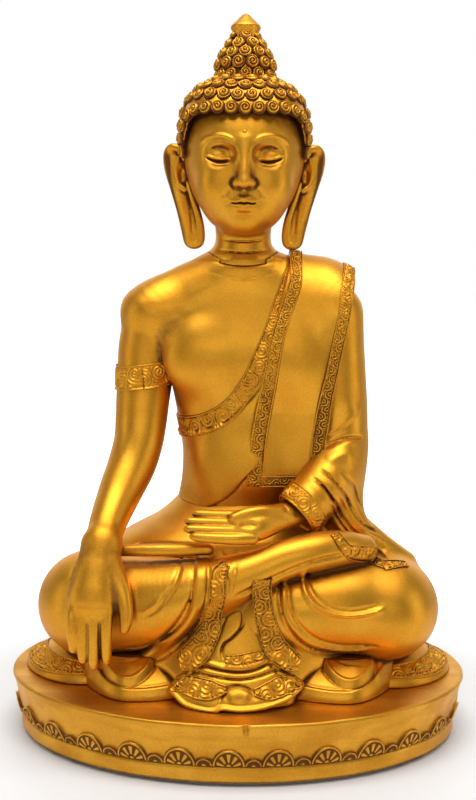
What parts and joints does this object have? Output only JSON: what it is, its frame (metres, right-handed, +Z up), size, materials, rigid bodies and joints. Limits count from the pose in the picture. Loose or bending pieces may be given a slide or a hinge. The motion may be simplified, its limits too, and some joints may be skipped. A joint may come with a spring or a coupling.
{
  "type": "seated buddha statue",
  "caption": "Gilt-painted seated figure in a draped robe with crossed legs, on an oval pedestal with a lotus frieze.",
  "frame": {"origin": "centre of the underside of the felt pad", "axes": "+Z up, the figure faces -Y, +X towards the figure's left hand"},
  "size_m": [0.1934, 0.1394, 0.3],
  "materials": {
    "gilt": "satin metallic gold paint over cast resin, with a brown wash left in the creases",
    "pedestal_gilt": "duller gold paint with horizontal brush streaks over cast resin",
    "bare_resin": "unpainted cast resin",
    "felt": "thin dark felt",
    "steel": "plain zinc-plated steel"
  },
  "bodies": {
    "root": {"felt_pad": "felt", "base_plate": "bare_resin", "foot_band": "pedestal_gilt", "pedestal": "pedestal_gilt", "lotus_frieze": "pedestal_gilt", "plate_screw_1": "steel", "plate_screw_2": "steel", "plate_screw_3": "steel", "plate_screw_4": "steel", "figure_screw_right": "steel", "figure_screw_left": "steel", "crossed_legs": "gilt", "hem_fan": "gilt", "hem_lobe_right": "gilt", "hem_lobe_left": "gilt", "hem_flap_right": "gilt", "hem_flap_left": "gilt", "apron": "gilt", "robe_edge_right": "gilt", "robe_edge_left": "gilt", "torso": "gilt", "shawl_panel": "gilt", "right_upper_arm": "gilt", "armband": "gilt", "right_forearm": "gilt", "left_sleeve": "gilt", "sleeve_cuff": "gilt", "left_hand": "gilt", "arm_pin": "steel", "neck_pin": "steel", "head": "gilt", "hair_cap": "gilt", "ushnisha": "gilt", "finial": "gilt", "urna": "gilt", "right_ear": "gilt", "left_ear": "gilt"}
  },
  "joints": []
}
